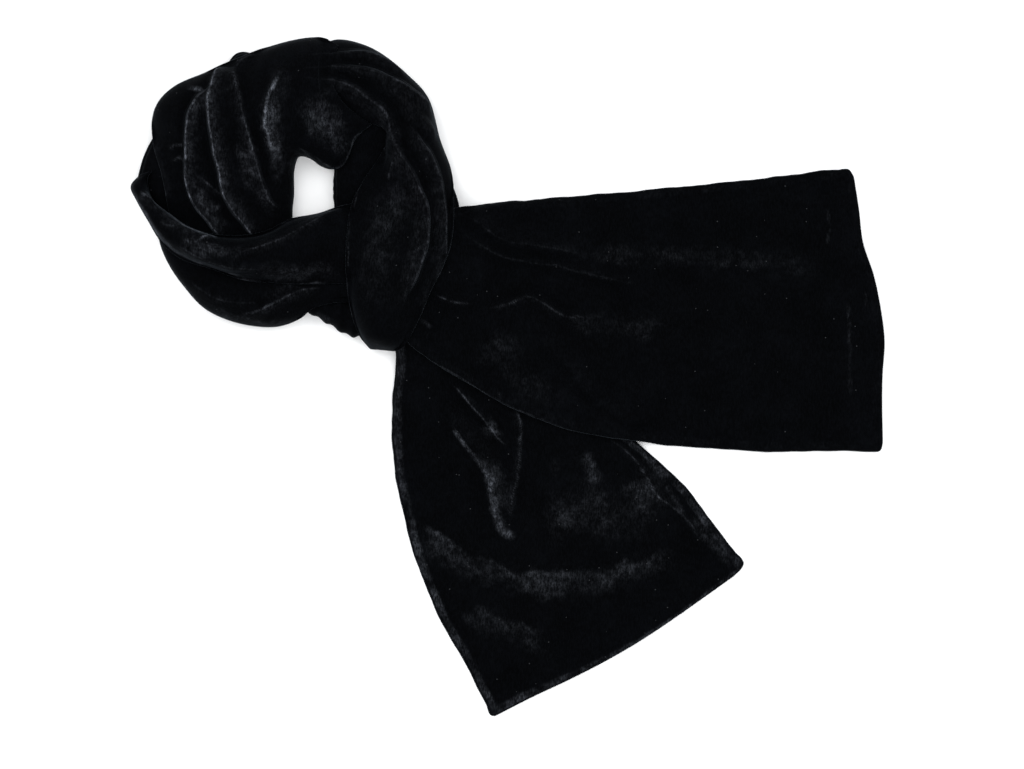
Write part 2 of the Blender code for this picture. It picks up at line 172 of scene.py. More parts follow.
def facing(grid):
    # the direction that each point of a grid faces
    along, acrossIt = np.gradient(grid, axis=0), np.gradient(grid, axis=1)
    normal = np.cross(along, acrossIt)
    normal /= np.maximum(np.linalg.norm(normal, axis=2, keepdims=True), 1e-9)
    return normal * np.where(normal[len(grid) // 2, grid.shape[1] // 2, 2] < 0, -1, 1)


def nearLine(plan, points):
    # for each place on the table: how far it is from a line, on which side, and how far along it that is from
    # the line's start and from its end
    line = smoothRows(points, np.linspace(0, 1, 5 * len(points)))
    steps = np.diff(line, axis=0)
    lengths = np.linalg.norm(steps, axis=1)
    starts = np.concatenate([[0], np.cumsum(lengths)])
    best, side, reached = np.full(len(plan), 1e9), np.zeros(len(plan)), np.zeros(len(plan))
    for start, step, length, so in zip(line[:-1], steps, lengths, starts):
        away = plan - start
        t = np.clip(away @ step / length ** 2, 0, 1)
        gap = away - t[:, None] * step
        distance = np.hypot(gap[:, 0], gap[:, 1])
        closer = distance < best
        best[closer] = distance[closer]
        side[closer] = (step[0] * gap[:, 1] - step[1] * gap[:, 0])[closer]
        reached[closer] = (so + t * length)[closer]
    return best, side, reached, starts[-1] - reached


def alongLine(plan, leftWidth, rightWidth, fade, points):
    # 1 on the line, easing to 0 at these widths to its left and right, and fading out at its ends; and the
    # furrow beside its steep side
    shape, flat = plan.shape[:2], plan.reshape(-1, 2)
    low, high = np.min(points, axis=0), np.max(points, axis=0)
    margin = max(leftWidth, rightWidth) + 12
    near = np.all((flat > low - margin) & (flat < high + margin), axis=1)
    amount, beyond = np.zeros(len(flat)), np.zeros(len(flat))
    fadeIn, fadeOut = fade if isinstance(fade, tuple) else (fade, fade)
    distance, side, fromStart, fromEnd = nearLine(flat[near], points)
    faded = (1 - eased(fromStart / fadeIn)) * (1 - eased(fromEnd / fadeOut))
    amount[near] = faded * np.where(side > 0, eased(distance / leftWidth), eased(distance / rightWidth))
    width = np.where(side > 0, leftWidth, rightWidth)
    past = (distance - width) / velvetScarf["creaseWidth"]
    furrow = faded * eased(past) * (1 - eased(past * 4))
    beyond[near] = np.where((past > 0) & (width <= velvetScarf["steepSide"]), furrow, 0)
    return amount.reshape(shape), beyond.reshape(shape)


def sewHem(laid, piece, clothPlan, fromFoot, height, nap):
    # raises the ridge over the seam allowances, paints a sheen highlight band along it, and says how the
    # edges wave sideways
    hem = sewnHem
    fromEdge = np.minimum(fromFoot, (laid["length"] - laid["gone"])[:, None])
    fromEdge = fromEdge + hem["wobble"] * softNoise(clothPlan + 1500, 16, 3.0)
    begun = 1 - eased((fromEdge - hem["begins"]) / hem["beginEase"])
    band = begun * eased((fromEdge - hem["ends"]) / hem["endEase"])
    height += hem["rise"] * band * (1 + 0.5 * softNoise(clothPlan + 2100, 5, 7.0))
    # painted sheen highlight band along the hem ridge, broken up in patches
    patchy = np.clip(0.6 + 0.9 * softNoise(clothPlan + 3100, 14, 8.0), 0.2, 1)
    nap = np.maximum(nap, piece["hemPaintedSheen"] * band * patchy)
    waves = softNoise(clothPlan + 2600, 24, 4.0) + 0.5 * softNoise(clothPlan + 2900, 9, 4.0)
    sideways = laid["outer"][:, -1] - laid["outer"][:, 0]
    sideways /= np.linalg.norm(sideways, axis=1)[:, None]
    push = waves * eased(fromFoot / hem["waveReach"]) * np.sign(laid["shares"] - 0.5) * hem["wave"]
    return height, nap, sideways[:, None] * push[:, :, None]


def foldUp(laid, piece):
    # raises the folds and the soft unevenness of handled cloth, and paints sheen highlights along the folds
    # and in patches
    handled = handledCloth
    outer, shares, gone = laid["outer"], laid["shares"], laid["gone"]
    plan = outer[:, :, :2]
    acrossCloth = shares[None] * laid["widths"][:, None]
    alongCloth = np.repeat(gone[:, None], len(shares), axis=1)
    clothPlan = np.dstack([acrossCloth, alongCloth])
    height, nap = np.zeros(acrossCloth.shape), np.zeros(acrossCloth.shape)
    for start, stretch, size, seedStep, share in handled["lumps"]:
        lumps = softNoise(clothPlan * stretch + start, size, piece["seed"] + seedStep)
        height += lumps * share * piece["unevenness"]
    strays = np.dstack([softNoise(plan + 90, 17, 2.0), softNoise(plan + 40, 17, 6.0)])
    wander = plan + handled["wander"] * strays
    varied = np.clip(0.85 + 0.8 * softNoise(plan + 500, 21, 11.0), 0.45, 1.2)
    ragged = np.dstack([
        softNoise(plan + 610, 13, seed) + 0.5 * softNoise(plan + 330, 5, seed) for seed in (3.0, 8.0)])
    for rise, leftWidth, rightWidth, fade, rim, points in piece["folds"]:
        ridge, crease = alongLine(wander, leftWidth, rightWidth, fade, points)
        height += rise * (ridge - handled["creaseDepth"] * crease)
        # painted highlight: a thin bright line on the fold and a painted glow beside it
        if rim:
            thin, _ = alongLine(wander, handled["rimWidth"], handled["rimWidth"], fade, points)
            leftGlow, rightGlow = min(leftWidth, handled["glowWidth"]), min(rightWidth, handled["glowWidth"])
            glow, _ = alongLine(wander, leftGlow, rightGlow, fade, points)
            nap = np.maximum(nap, rim * varied * thin) + handled["glow"] * rim * varied * glow
        # painted sheen over the fold's raised side
        nap += piece["foldPaintedSheen"] * min(rise / handled["fullRise"], 1) * ridge
    # painted sheen patches, brightening the colour where highlights fall
    for strength, leftWidth, rightWidth, fade, points in piece["pressedSheen"]:
        reach = min(0.5 * max(leftWidth, rightWidth), handled["patchReach"])
        patch, _ = alongLine(plan + reach * ragged, leftWidth, rightWidth, fade, points)
        patch *= handled["patchStrength"] * strength * varied
        nap = np.maximum(nap, patch) + handled["patchOverlap"] * np.minimum(nap, patch)
    fromFoot = np.minimum(acrossCloth, laid["widths"][:, None] - acrossCloth)
    if piece["hemmed"]:
        height, nap, moved = sewHem(laid, piece, clothPlan, fromFoot, height, nap)
        laid["under"] += moved[:, 1:-1]
        outer = outer + moved
    height = np.maximum(height, handled["deepest"]) * np.minimum(1, fromFoot / handled["edgeEase"])
    lifted = facing(laid["outer"]) * height[:, :, None]
    laid["outer"] = outer + lifted
    if piece["flatOnTable"]:
        # the underside follows the folds, since the cloth is hollow below them
        risen = np.maximum(0, lifted[:, 1:-1, 2:])
        room = laid["outer"][:, 1:-1, 2:] - cloth - laid["under"][:, :, 2:]
        laid["under"][:, :, 2:] += np.minimum(risen, np.maximum(0, room))
    laid["clothPlan"], laid["nap"] = clothPlan, nap


def restOn(laid, beneath, merge=None):
    # lifts the stretch off what lies below it; where it merges, its end thins out onto what is below
    trees = [BVHTree.FromPolygons(points, faces) for points, faces in beneath]
    outer, under = laid["outer"], laid["under"]
    below = np.concatenate([outer[:, :1], under, outer[:, -1:]], axis=1)
    tops = np.zeros(below.shape[:2])
    down = Vector((0, 0, -1))
    for index in np.ndindex(tops.shape):
        x, y, _ = below[index]
        for tree in trees:
            hit = tree.ray_cast(Vector((x, y, 200)), down)[0]
            if hit is not None and hit.z > tops[index]:
                tops[index] = hit.z
    bare = tops.copy()
    tops[tops > 0] += velvetScarf["airBetween"]
    tops = spread(tops, np.max, 2)
    needed = np.maximum(tops - below[:, :, 2], 0)
    softened = spread(needed, np.mean, velvetScarf["sagReach"])
    slope, band = velvetScarf["edgeSlope"], velvetScarf["edgeBand"]
    sloping = spread(spread(needed, np.max, slope, 0), np.mean, 2 * slope, 0)
    columns = np.arange(softened.shape[1])
    inside = np.minimum(1, columns / band) * np.minimum(1, columns[::-1] / band)
    lift = np.maximum(needed, softened * inside + sloping * (1 - inside))
    under[:, :, 2] += lift[:, 1:-1]
    outer[:, :, 2] += lift
    if merge:
        toEnd = eased((laid["length"] - laid["gone"] - 1) / merge["length"])[:, None]
        outerPart = 1 - eased((laid["shares"] - merge["fromShare"]) / merge["fadeShare"])[None]
        amount = toEnd * outerPart * (bare > 0)
        sunk = bare - merge["sinks"]
        outer[:, :, 2] += amount * (sunk - outer[:, :, 2])
        under[:, :, 2] += (amount * (sunk - merge["thickness"] - below[:, :, 2] - lift))[:, 1:-1]


def roundNoses(laid):
    # the cut ends of a stretch are rounded over, as a folded or sewn edge is
    outer, under, gone = laid["outer"], laid["under"], laid["gone"]
    half = cloth / 2
    fromEnd = np.minimum(gone, laid["length"] - gone)
    for i in np.nonzero(fromEnd < half)[0]:
        share = math.sqrt(max(0.02, 1 - (1 - fromEnd[i] / half) ** 2))
        middle = (outer[i, 1:-1] + under[i]) / 2
        outer[i, 1:-1] = middle + (outer[i, 1:-1] - middle) * share
        under[i] = middle + (under[i] - middle) * share


def shellOf(laid, closed=False):
    # the points and faces of a stretch as one closed shell
    outer, under = laid["outer"], laid["under"]
    stations, n = outer.shape[:2]
    loops = np.concatenate([outer, under[:, ::-1]], axis=1)
    around = loops.shape[1]
    i, j = np.meshgrid(np.arange(stations if closed else stations - 1), np.arange(around), indexing="ij")
    near, far, k = i * around, (i + 1) % stations * around, (j + 1) % around
    faces = np.stack([near + j, near + k, far + k, far + j], axis=-1).reshape(-1, 4).tolist()
    if not closed:
        partner = [0] + [around - m for m in range(1, n - 1)] + [n - 1]
        for at, flip in ((0, False), ((stations - 1) * around, True)):
            for m in range(n - 1):
                corners = [at + m, at + m + 1, at + partner[m + 1], at + partner[m]]
                corners = list(dict.fromkeys(corners))
                faces.append(corners if flip else corners[::-1])
    return loops.reshape(-1, 3), faces


def makePiece(piece, laid, material, closed=False):
    # the mesh of one stretch, with its cloth measure and painted sheen on it
    points, faces = shellOf(laid, closed)
    mesh = bpy.data.meshes.new(piece["name"])
    middle = np.array([*velvetScarf["laidMiddle"], 0])
    mesh.from_pydata(((points - middle) * millimetre).tolist(), [], faces)
    area = sum(face.area for face in mesh.polygons)
    clothPlan, nap = laid["clothPlan"], laid["nap"]
    wholePlan = np.concatenate([clothPlan, clothPlan[:, 1:-1][:, ::-1]], axis=1).reshape(-1, 2) * millimetre
    wholePaintedSheen = np.concatenate([nap, 0 * nap[:, 1:-1]], axis=1).reshape(-1)
    measure = mesh.attributes.new("clothMeasure", "FLOAT_VECTOR", "POINT")
    measure.data.foreach_set("vector", np.column_stack([wholePlan, np.zeros(len(wholePlan))]).ravel())
    # the painted sheen highlight, kept on each point for the velvet's colour
    paintedSheenMask = mesh.attributes.new("paintedSheen", "FLOAT", "POINT")
    paintedSheenMask.data.foreach_set("value", wholePaintedSheen)
    loopVerts = np.zeros(len(mesh.loops), int)
    mesh.loops.foreach_get("vertex_index", loopVerts)
    unwrapped = mesh.uv_layers.new(name="UVMap")
    unwrapped.data.foreach_set("uv", wholePlan[loopVerts].ravel())
    mesh.materials.append(material)
    mesh.shade_smooth()
    made = bpy.data.objects.new(piece["name"], mesh)
    bpy.context.scene.collection.objects.link(made)
    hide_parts(piece["node"])
    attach(made, "root")
    triangles = sum(len(face.vertices) - 2 for face in mesh.polygons)
    half = round(area / 2, 4)
    print(piece["name"], "done,", triangles, "triangles, half its surface is", half, "square metres")


# Black velvet
blackVelvet = {
    "deepColour": (0.00024, 0.00032, 0.00050),
    "wornColour": (0.0021, 0.0025, 0.0034),
    "paintedHighlightColour": (0.112, 0.122, 0.143),      # painted sheen highlight, mixed in along folds and in patches
    "lintColour": (0.024, 0.025, 0.027),
    "sheen": 0.052,
    "sheenSpread": 0.30,
    "sheenColour": (0.70, 0.84, 1.00),
    "pileLength": 0.0004,
    "napLean": 0.16,
    "gloss": 0.015,
    "handMarks": 34,                         # marks left by hands; these are how many to a metre
    "mottling": 170,
    "tufts": 1100,
    "streaks": 1000,
    "ribs": 330,                             # rows of the weave showing through the pile
    "lint": 140,
    "lintSize": 0.058,                       # of a speck, as a share of the space it has
    "lintLeftOut": 0.58,                     # share of those places with no speck
}


def makeVelvet(settings):
    material = bpy.data.materials.new("blackVelvet")
    material.use_nodes = True
    tree = material.node_tree
    nodes, links = tree.nodes, tree.links
    shader = nodes["Principled BSDF"]
    shader.inputs["Metallic"].default_value = 0.0
    shader.inputs["Specular IOR Level"].default_value = settings["gloss"]
    shader.inputs["Sheen Weight"].default_value = settings["sheen"]
    shader.inputs["Sheen Roughness"].default_value = settings["sheenSpread"]
    shader.inputs["Sheen Tint"].default_value = (*settings["sheenColour"], 1)
    material.diffuse_color = (0.010, 0.011, 0.014, 1)

    def node(kind, **values):
        made = nodes.new(kind)
        for key, value in values.items():
            if hasattr(made, key):
                setattr(made, key, value)
            else:
                made.inputs[key.replace("_", " ")].default_value = value
        return made

    def noiseOf(vector, scale, detail, rough):
        made = node("ShaderNodeTexNoise", Scale=scale, Detail=detail, Roughness=rough)
        links.new(vector, made.inputs["Vector"])
        return made

    def arithmetic(operation, first, second=None, third=None, clamp=False):
        made = nodes.new("ShaderNodeMath")
        made.operation, made.use_clamp = operation, clamp
        for socket, value in zip(made.inputs, (first, second, third)):
            if isinstance(value, (int, float)):
                socket.default_value = value
            elif value is not None:
                links.new(value, socket)
        return made.outputs[0]

    def vectors(operation, first, second=None, scale=None):
        made = nodes.new("ShaderNodeVectorMath")
        made.operation = operation
        for socket, value in ((made.inputs[0], first), (made.inputs[1], second), (made.inputs[3], scale)):
            if isinstance(value, (int, float, tuple)):
                socket.default_value = value
            elif value is not None:
                links.new(value, socket)
        return made.outputs[0]

    def mixColours(share, first, second):
        made = nodes.new("ShaderNodeMix")
        made.data_type = "RGBA"
        links.new(share, made.inputs["Factor"])
        for socket, value in ((made.inputs["A"], first), (made.inputs["B"], second)):
            if isinstance(value, tuple):
                socket.default_value = (*value, 1)
            else:
                links.new(value, socket)
        return made.outputs["Result"]

    place = node("ShaderNodeTexCoord").outputs["Object"]
    measure = node("ShaderNodeAttribute", attribute_name="clothMeasure").outputs["Vector"]
    paintedSheenMask = node("ShaderNodeAttribute", attribute_name="paintedSheen").outputs["Fac"]

    brushed = noiseOf(place, settings["handMarks"], 3, 0.6)
    mottled = noiseOf(place, settings["mottling"], 6, 0.70)
    pile = noiseOf(place, settings["tufts"], 2, 0.7)
    streaks = noiseOf(vectors("MULTIPLY", place, (1.0, 0.3, 1.0)), settings["streaks"], 3, 0.75)
    ribs = node("ShaderNodeTexWave", wave_type="BANDS", bands_direction="X", Scale=settings["ribs"],
                Distortion=1.2, Detail=2.0)
    links.new(measure, ribs.inputs["Vector"])

    # handled places are a little paler at random, and painted sheen highlights are mixed in along folds and
    # in patches
    marks = arithmetic("MULTIPLY_ADD", mottled.outputs["Fac"], 4.6, -2.0, True)
    hands = arithmetic("MULTIPLY_ADD", brushed.outputs["Fac"], 2.4, -0.85, True)
    grain = arithmetic("MULTIPLY_ADD", streaks.outputs["Fac"], 4.4, -1.8, True)
    worn = arithmetic("MULTIPLY", arithmetic("MULTIPLY_ADD", mottled.outputs["Fac"], 1.6, -0.5, True), hands)
    worn = arithmetic("MULTIPLY_ADD", grain, 0.35, worn, True)
    colour = mixColours(worn, settings["deepColour"], settings["wornColour"])
    broken = arithmetic("MULTIPLY_ADD", marks, 1.15, 0.34)
    broken = arithmetic("MULTIPLY", broken, arithmetic("MULTIPLY_ADD", grain, 1.5, 0.22))
    ragged = arithmetic("MULTIPLY_ADD", mottled.outputs["Fac"], 1.0, -0.5)
    ragged = arithmetic("MULTIPLY", ragged, arithmetic("POWER", paintedSheenMask, 0.8, clamp=True))
    firm = arithmetic("ADD", paintedSheenMask, arithmetic("MULTIPLY", ragged, 0.7), clamp=True)
    firm = arithmetic("POWER", firm, 1.3)
    glint = arithmetic("MULTIPLY", firm, broken, clamp=True)
    # the painted sheen highlight goes into the base colour here
    colour = mixColours(glint, colour, settings["paintedHighlightColour"])

    # specks of lint
    specks = node("ShaderNodeTexVoronoi", feature="F1", Scale=settings["lint"], Randomness=1.0)
    links.new(place, specks.inputs["Vector"])
    near = arithmetic("LESS_THAN", specks.outputs["Distance"], settings["lintSize"])
    rare = node("ShaderNodeSeparateColor")
    links.new(specks.outputs["Color"], rare.inputs[0])
    chosen = arithmetic("GREATER_THAN", rare.outputs[0], settings["lintLeftOut"])
    lint = arithmetic("MULTIPLY", near, chosen)
    colour = mixColours(lint, colour, settings["lintColour"])
    links.new(colour, shader.inputs["Base Color"])
    links.new(arithmetic("MULTIPLY_ADD", mottled.outputs["Fac"], 0.2, 0.74), shader.inputs["Roughness"])

    # the pile leans: a little everywhere, more where sheen highlights are painted
    geometry = node("ShaderNodeNewGeometry").outputs["Normal"]
    wander = vectors("SUBTRACT", brushed.outputs["Color"], (0.5, 0.5, 0.5))
    scatter = vectors("SUBTRACT", mottled.outputs["Color"], (0.5, 0.5, 0.5))
    wander = vectors("SCALE", wander, scale=settings["napLean"] * 2)
    pressedSheen = arithmetic("MULTIPLY_ADD", paintedSheenMask, 1.4, settings["napLean"])
    scatter = vectors("SCALE", scatter, scale=pressedSheen)
    leaning = vectors("NORMALIZE", vectors("ADD", vectors("ADD", geometry, wander), scatter))
    tufts = arithmetic("MULTIPLY_ADD", ribs.outputs["Fac"], 0.25, pile.outputs["Fac"])
    bump = node("ShaderNodeBump", Strength=0.55, Distance=settings["pileLength"])
    links.new(tufts, bump.inputs["Height"])
    links.new(leaning, bump.inputs["Normal"])
    links.new(bump.outputs["Normal"], shader.inputs["Normal"])
    return material


velvet = makeVelvet(blackVelvet)
print("velvet done")

# Sections are: inner edge x, y, outer edge x, y, height, how boxy, how far the middle bows forwards.
# Folds are: rise, width to the left and to the right of the line, fade, how bright the painted highlight is
# on the line, and the line. The fade is the length over which a fold dies out at both ends, or one length for
# each end.
# Painted sheen patches are: how bright the painted sheen is, width to the left and to the right, fade, and
# the line.
# A piece's merge says how its end thins out onto the stretch below it.

# Hidden layers
hiddenLayers = {
    "name": "hiddenLayers", "node": "hidden_layers",
    "flat": (0.118, 0.288), "held": "folded", "restsOn": [],
    "spokes": [              # degrees round the ring's middle, inner radius, outer radius, height
        (0, 14.5, 100, 19), (20, 15.5, 92, 20), (45, 21, 84, 20), (68, 29, 88, 20), (92, 31, 92, 20),
        (108, 31, 96, 20), (119, 30, 110, 19), (129, 29, 106, 20), (145, 26, 112, 20), (160, 25, 119, 19),
        (173, 25, 125, 17), (184, 25, 126, 14), (198, 26, 112, 12), (218, 29, 108, 12), (238, 33, 102, 13),
        (256, 30, 94, 14), (274, 28, 80, 14), (292, 27, 90, 12), (310, 23, 96, 12), (328, 17, 104, 13),
        (341, 15.5, 108, 16), (351, 14.5, 106, 18), (360, 14.5, 100, 19)],
    "layers": 4,             # edges of the wound cloth that show in the ring's hole
    "layerDepth": 0.9,
    "boxy": 2.4,
    "pointsAround": 300, "pointsAcross": 90,
    "clothRadius": 70,       # turns the angle round the ring into a length of cloth
}


def layRing(ring):
    places = np.linspace(0, 1, ring["pointsAround"] + 1)[:-1]
    spokes = smoothRows(ring["spokes"], places)
    angle = np.radians(spokes[:, 0])
    away = np.column_stack([np.cos(angle), np.sin(angle)])
    middle = np.array(velvetScarf["ringMiddle"])
    inner, edge = middle + away * spokes[:, 1:2], middle + away * spokes[:, 2:3]
    shares = (1 - np.cos(np.linspace(0, math.pi, ring["pointsAcross"]))) / 2
    heights = archHeight(shares, ring["boxy"])
    # layered edges: the wall goes in between the layers and out over each
    waves = np.abs(np.cos(math.pi * ring["layers"] * heights)) - 0.5
    layer = ring["layerDepth"] * waves * np.sqrt(1 - heights ** 2)
    outer, under = [], []
    for a, b, crown in zip(inner, edge, spokes[:, 3]):
        top = sectionPoints(a, b, np.zeros(2), shares, crown * heights)
        way = (b - a) / np.linalg.norm(b - a)
        top[:, :2] += np.outer(layer * np.sign(2 * shares - 1), way)
        flat = sectionPoints(a, b, np.zeros(2), shares, 0 * heights)
        outer.append(top)
        under.append(flat[1:-1])
    widths = np.linalg.norm(edge - inner, axis=1)
    gone = angle * ring["clothRadius"]
    grid = np.repeat(shares[None], len(outer), axis=0)
    plan = np.dstack([grid * widths[:, None], np.repeat(gone[:, None], len(shares), axis=1)])
    nap = np.zeros(plan.shape[:2])
    return {"outer": np.array(outer), "under": np.array(under), "clothPlan": plan, "nap": nap}


laidStretches = {"hiddenLayers": layRing(hiddenLayers)}

# Lower tail
lowerTail = {
    "name": "lowerTail", "node": "lower_tail", "flatOnTable": True, "hemmed": True,
    "flat": (0.200, 0.266), "held": "laid", "restsOn": ["hiddenLayers"],
    "foldPaintedSheen": 0.02, "unevenness": 0.55, "seed": 2.0, "hemPaintedSheen": 0.21,
    "alongStep": 1.3, "pointsAcross": 180, "edgeDetail": 0.25,
    "sections": [
        (-82, 34, -56, 56, 16, 2.6, 0), (-81, 8, -13, 24, 12, 3.0, 3), (-83.5, -27, 37, -8, 8, 4.0, 3),
        (-80.8, -73, 91, -46, 4.5, 7.0, 3), (-69.3, -123.5, 126, -77.5, 2.8, 12, 2),
            (-51.5, -169.5, 148, -106, 2.8, 12, 2),
        (-29.5, -210, 163, -125, 2.8, 12, 1), (-17, -234.5, 168, -131, 2.8, 12, 0),
        (-15, -239.5, 169.5, -134, 2.8, 12, 0), (-13, -243.5, 168, -138, 2.6, 12, 0),
        (-10, -244.5, 163.5, -142.5, 2.4, 12, 0)],
    "endShape": [0.5, 3.3, 7.3, 9.8, 9.3, 5.6, 1.0],    # how far the end runs out, at even places across it
    "folds": [
        (6.0, 9, 15, 22, 0.0, [(-49, -13), (-30, -35), (-13, -57), (-2, -78), (1, -98), (1, -111)]),
        (2.6, 3, 8, 14, 0.24, [(3, -15), (9, -32), (9, -49), (7, -68), (4, -87), (1, -104)]),
        (2.4, 7, 3, 12, 0.34, [(-40, -5), (-29, -18), (-17, -32), (-8, -44), (-1, -50)]),
        (2.2, 15, 15, 30, 0.0, [(-65, -109), (-48, -120), (-29, -131), (-9, -138), (13, -145), (38, -144),
            (63, -142), (85, -136), (102, -131), (119, -121)]),
        (1.2, 14, 14, 24, 0.0, [(-37, -174), (-9, -172), (19, -181), (37, -187)]),
        (1.8, 8, 10, 16, 0.0, [(37, -53), (59, -67), (69, -89), (71, -111)]),
        (1.6, 6, 5, 18, 0.22, [(72, -44), (88, -57), (99, -71), (107, -85), (120, -95), (131, -106),
            (141, -122)])],
    "pressedSheen": [
        (1.00, 2.4, 2.6, 10, [(-42, -33), (-35, -43), (-27, -54), (-19, -65), (-12, -78)]),
        (1.60, 5.5, 4.0, (20, 7), [(-25, -55), (-18, -67), (-13, -80), (-10, -93), (-7, -105), (0, -113),
            (7, -116)]),
        (0.55, 15.0, 6.0, 14, [(-22, -58), (-15, -72), (-10, -86), (-7, -100)]),
        (0.80, 5.0, 8.0, 6, [(-17, -31), (-10, -37), (-4, -43)]),
        (0.20, 30.0, 26.0, 30, [(34, -80), (66, -98), (108, -114)]),
        (0.46, 3.0, 5.0, 22, [(-69, -104), (-52, -113), (-34, -125), (-18, -134)]),
        (0.40, 2.5, 6.0, 26, [(-10, -137), (13, -142), (40, -141), (68, -138)]),
        (0.38, 5.0, 19.0, 34, [(-68, -107), (-48, -120), (-29, -131), (-9, -137), (13, -144), (38, -142),
            (63, -142), (85, -136), (102, -131), (121, -118)]),
        (0.36, 8.0, 12.0, 26, [(5, -148), (37, -152), (66, -149), (88, -141)]),
        (0.38, 22.0, 19.0, 28, [(20, -106), (42, -100), (62, -96), (86, -99)]),
        (0.52, 14.0, 13.0, 16, [(57, -78), (66, -90), (72, -103)]),
        (0.48, 7.5, 7.5, 12, [(55, -52), (60, -68), (63, -84)]),
        (0.38, 26.0, 24.0, 22, [(82, -68), (97, -86), (108, -108)]),
        (0.26, 9.0, 9.0, 6, [(28, -62), (36, -66)]),
        (0.45, 3.0, 4.0, 8, [(96, -57), (106, -66), (113, -76), (121, -89), (128, -103)]),
        (0.36, 6.0, 18.0, 24, [(-41, -170), (-24, -171), (-8, -174), (12, -182), (34, -191)]),
        (0.42, 6.0, 6.0, 10, [(131, -100), (141, -112), (153, -126), (163, -136)])],
}

# Gathered bight
gatheredBight = {
    "name": "gatheredBight", "node": "gathered_bight", "flatOnTable": False, "hemmed": False,
    "flat": (0.034, 0.060), "held": "gathered", "restsOn": ["hiddenLayers"],
    "foldPaintedSheen": 0.06, "unevenness": 0.3, "seed": 3.0,
    "alongStep": 1, "pointsAcross": 40, "edgeDetail": 0.7,
    "sections": [
        (-144, 60, -145, 48, 7, 2.4, 0), (-137, 61, -137, 43, 11, 2.4, 0), (-129, 61, -130, 39, 12, 2.4, 0),
        (-121, 60, -122, 34, 13, 2.4, 0), (-113, 58, -114, 30, 13, 2.4, 0),
            (-104, 50, -106, 29, 12, 2.4, 0),
        (-95, 46, -97, 26, 11, 2.4, 0), (-87, 44, -88, 26, 9, 2.4, 0)],
    "folds": [],
    "pressedSheen": [(0.25, 4.0, 4.0, 4, [(-141, 46), (-134, 42), (-125, 39)])],
    "bunches": 6, "bunchRise": 1.6,
}

# Under turn
underTurn = {
    "name": "underTurn", "node": "under_turn", "flatOnTable": False, "hemmed": False,
    "flat": (0.046, 0.158), "held": "gathered", "restsOn": ["hiddenLayers", "gatheredBight"],
    "foldPaintedSheen": 0.065, "unevenness": 0.5, "seed": 4.0,
    "alongStep": 1.3, "pointsAcross": 84, "edgeDetail": 0.7,
    "sections": [
        (-229, 99, -252, 112, 15, 2.4, 0), (-225, 95, -250.5, 96, 17, 2.4, 0),
            (-218, 90, -244.5, 81, 18, 2.4, 0),
        (-210, 86, -234, 65.5, 19, 2.4, 0), (-198, 81, -218, 48.5, 20, 2.4, 0),
            (-182, 78, -195, 38.5, 20, 2.4, 0),
        (-164, 77, -169, 35.5, 19, 2.4, 0), (-150, 76, -150, 41, 18, 2.4, 0),
            (-135, 75, -139, 49, 17, 2.4, 0),
        (-117, 75, -122, 53, 16, 2.4, 0), (-98, 72, -104, 52, 15, 2.4, 0)],
    "folds": [
        (2.2, 3, 9, 12, 0.22, [(-193, 44), (-181, 47), (-165, 54), (-149, 61), (-133, 64)]),
        (1.2, 6, 5, 12, 0.10, [(-229, 68), (-211, 58), (-193, 53), (-177, 53)])],
    "pressedSheen": [
        (0.28, 3.5, 5.0, 14, [(-225, 58), (-204, 46), (-184, 40), (-164, 38), (-147, 44)]),
        (0.24, 10.0, 9.0, 14, [(-177, 55), (-157, 62), (-141, 67)])],
}

